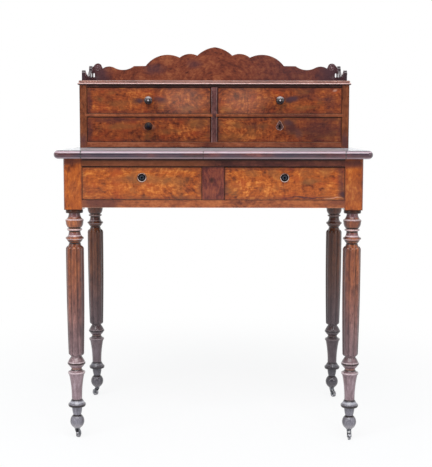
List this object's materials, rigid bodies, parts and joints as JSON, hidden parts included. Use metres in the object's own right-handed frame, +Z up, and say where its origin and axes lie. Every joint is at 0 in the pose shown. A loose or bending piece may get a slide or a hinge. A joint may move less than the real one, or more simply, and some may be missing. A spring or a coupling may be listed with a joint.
{
  "type": "bonheur du jour",
  "caption": "Small mahogany writing table on turned reeded legs with castors, frieze drawers, sliding writing surface, gradin with drawers and a scrolled gallery.",
  "frame": {"origin": "on the floor under the centre of the top", "axes": "+X to the sitter's right, +Y to the back, +Z up"},
  "size_m": [0.804, 0.5001, 1.0485],
  "materials": {
    "turned_mahogany": "french polished",
    "flame_veneer": "french polished, flame figure",
    "red_veneer": "french polished, flame figure",
    "carcase_mahogany": "french polished",
    "gallery_mahogany": "french polished",
    "polished_top": "high french polish",
    "drawer_lining": "bare pine",
    "ebonised_wood": "ebonised and waxed",
    "dark_metal": "tarnished brass",
    "pale_metal": "worn brass",
    "lock_metal": "old iron",
    "castor_metal": "tarnished brass",
    "castor_wheel": "worn brass"
  },
  "bodies": {
    "carcase": {"leg_front_left": "turned_mahogany", "leg_front_right": "turned_mahogany", "leg_rear_left": "turned_mahogany", "leg_rear_right": "turned_mahogany", "front_top_rail": "carcase_mahogany", "front_bottom_rail": "carcase_mahogany", "centre_muntin": "carcase_mahogany", "side_apron_left": "carcase_mahogany", "side_apron_right": "carcase_mahogany", "back_apron": "carcase_mahogany", "drawer_runners": "drawer_lining", "top_end_left": "polished_top", "top_end_right": "polished_top", "top_rear_rail": "polished_top", "gradin_side_left": "carcase_mahogany", "gradin_side_right": "carcase_mahogany", "gradin_bottom": "carcase_mahogany", "gradin_shelves": "carcase_mahogany", "gradin_divider": "carcase_mahogany", "gradin_back": "carcase_mahogany", "gradin_top_rail": "carcase_mahogany", "gradin_top": "carcase_mahogany", "gallery_back": "gallery_mahogany", "gallery_side_left": "gallery_mahogany", "gallery_side_right": "gallery_mahogany", "castor_sockets": "castor_metal"},
    "writing_slide": {"writing_slide": "polished_top", "slide_nosing": "polished_top"},
    "frieze_drawer_left": {"frieze_drawer_left_front": "flame_veneer", "frieze_drawer_left_box": "drawer_lining", "frieze_drawer_left_key_plate": "dark_metal", "frieze_drawer_left_lock_case": "lock_metal"},
    "frieze_drawer_left_bolt": {"frieze_drawer_left_lock_bolt": "lock_metal"},
    "frieze_drawer_right": {"frieze_drawer_right_front": "flame_veneer", "frieze_drawer_right_box": "drawer_lining", "frieze_drawer_right_key_plate": "dark_metal", "frieze_drawer_right_lock_case": "lock_metal"},
    "frieze_drawer_right_bolt": {"frieze_drawer_right_lock_bolt": "lock_metal"},
    "gradin_upper_drawer_left": {"gradin_upper_drawer_left_front": "red_veneer", "gradin_upper_drawer_left_box": "drawer_lining", "gradin_upper_drawer_left_knob": "ebonised_wood"},
    "gradin_lower_drawer_left": {"gradin_lower_drawer_left_front": "red_veneer", "gradin_lower_drawer_left_box": "drawer_lining", "gradin_lower_drawer_left_knob": "ebonised_wood"},
    "gradin_upper_drawer_right": {"gradin_upper_drawer_right_front": "red_veneer", "gradin_upper_drawer_right_box": "drawer_lining", "gradin_upper_drawer_right_knob": "ebonised_wood"},
    "gradin_lower_drawer_right": {"gradin_lower_drawer_right_front": "red_veneer", "gradin_lower_drawer_right_box": "drawer_lining", "gradin_lower_drawer_right_key_plate": "pale_metal", "gradin_lower_drawer_right_lock_case": "lock_metal"},
    "gradin_lower_drawer_right_bolt": {"gradin_lower_drawer_right_lock_bolt": "lock_metal"},
    "castor_front_left": {"castor_front_left_fork": "castor_metal"},
    "castor_wheel_front_left": {"castor_front_left_wheel": "castor_wheel"},
    "castor_front_right": {"castor_front_right_fork": "castor_metal"},
    "castor_wheel_front_right": {"castor_front_right_wheel": "castor_wheel"},
    "castor_rear_left": {"castor_rear_left_fork": "castor_metal"},
    "castor_wheel_rear_left": {"castor_rear_left_wheel": "castor_wheel"},
    "castor_rear_right": {"castor_rear_right_fork": "castor_metal"},
    "castor_wheel_rear_right": {"castor_rear_right_wheel": "castor_wheel"}
  },
  "joints": [
    {"name": "writing_slide_travel", "type": "slide", "parent": "carcase", "child": "writing_slide", "axis": [0, -1, 0], "range_m": [0, 0.16]},
    {"name": "frieze_drawer_left_travel", "type": "slide", "parent": "carcase", "child": "frieze_drawer_left", "axis": [0, -1, 0], "range_m": [0, 0.3]},
    {"name": "frieze_drawer_left_bolt_throw", "type": "slide", "parent": "frieze_drawer_left", "child": "frieze_drawer_left_bolt", "axis": [0, 0, 1], "range_m": [0, 0.006]},
    {"name": "frieze_drawer_right_travel", "type": "slide", "parent": "carcase", "child": "frieze_drawer_right", "axis": [0, -1, 0], "range_m": [0, 0.3]},
    {"name": "frieze_drawer_right_bolt_throw", "type": "slide", "parent": "frieze_drawer_right", "child": "frieze_drawer_right_bolt", "axis": [0, 0, 1], "range_m": [0, 0.006]},
    {"name": "gradin_upper_drawer_left_travel", "type": "slide", "parent": "carcase", "child": "gradin_upper_drawer_left", "axis": [0, -1, 0], "range_m": [0, 0.12]},
    {"name": "gradin_lower_drawer_left_travel", "type": "slide", "parent": "carcase", "child": "gradin_lower_drawer_left", "axis": [0, -1, 0], "range_m": [0, 0.12]},
    {"name": "gradin_upper_drawer_right_travel", "type": "slide", "parent": "carcase", "child": "gradin_upper_drawer_right", "axis": [0, -1, 0], "range_m": [0, 0.12]},
    {"name": "gradin_lower_drawer_right_travel", "type": "slide", "parent": "carcase", "child": "gradin_lower_drawer_right", "axis": [0, -1, 0], "range_m": [0, 0.12]},
    {"name": "gradin_lower_drawer_right_bolt_throw", "type": "slide", "parent": "gradin_lower_drawer_right", "child": "gradin_lower_drawer_right_bolt", "axis": [0, 0, 1], "range_m": [0, 0.006]},
    {"name": "castor_front_left_swivel", "type": "hinge", "parent": "carcase", "child": "castor_front_left", "pos_m": [-0.3565, -0.2045, 0.029], "axis": [0, 0, 1], "continuous": true},
    {"name": "castor_front_left_roll", "type": "hinge", "parent": "castor_front_left", "child": "castor_wheel_front_left", "pos_m": [-0.35443, -0.19677, 0.0095], "axis": [-0.9659, 0.2588, 0], "continuous": true},
    {"name": "castor_front_right_swivel", "type": "hinge", "parent": "carcase", "child": "castor_front_right", "pos_m": [0.3565, -0.2045, 0.029], "axis": [0, 0, 1], "continuous": true},
    {"name": "castor_front_right_roll", "type": "hinge", "parent": "castor_front_right", "child": "castor_wheel_front_right", "pos_m": [0.3565, -0.2125, 0.0095], "axis": [1, 0, 0], "continuous": true},
    {"name": "castor_rear_left_swivel", "type": "hinge", "parent": "carcase", "child": "castor_rear_left", "pos_m": [-0.3565, 0.2105, 0.029], "axis": [0, 0, 1], "continuous": true},
    {"name": "castor_rear_left_roll", "type": "hinge", "parent": "castor_rear_left", "child": "castor_wheel_rear_left", "pos_m": [-0.36263, 0.21564, 0.0095], "axis": [-0.6428, -0.766, 0], "continuous": true},
    {"name": "castor_rear_right_swivel", "type": "hinge", "parent": "carcase", "child": "castor_rear_right", "pos_m": [0.3565, 0.2105, 0.029], "axis": [0, 0, 1], "continuous": true},
    {"name": "castor_rear_right_roll", "type": "hinge", "parent": "castor_rear_right", "child": "castor_wheel_rear_right", "pos_m": [0.3605, 0.20357, 0.0095], "axis": [0.866, 0.5, 0], "continuous": true}
  ]
}
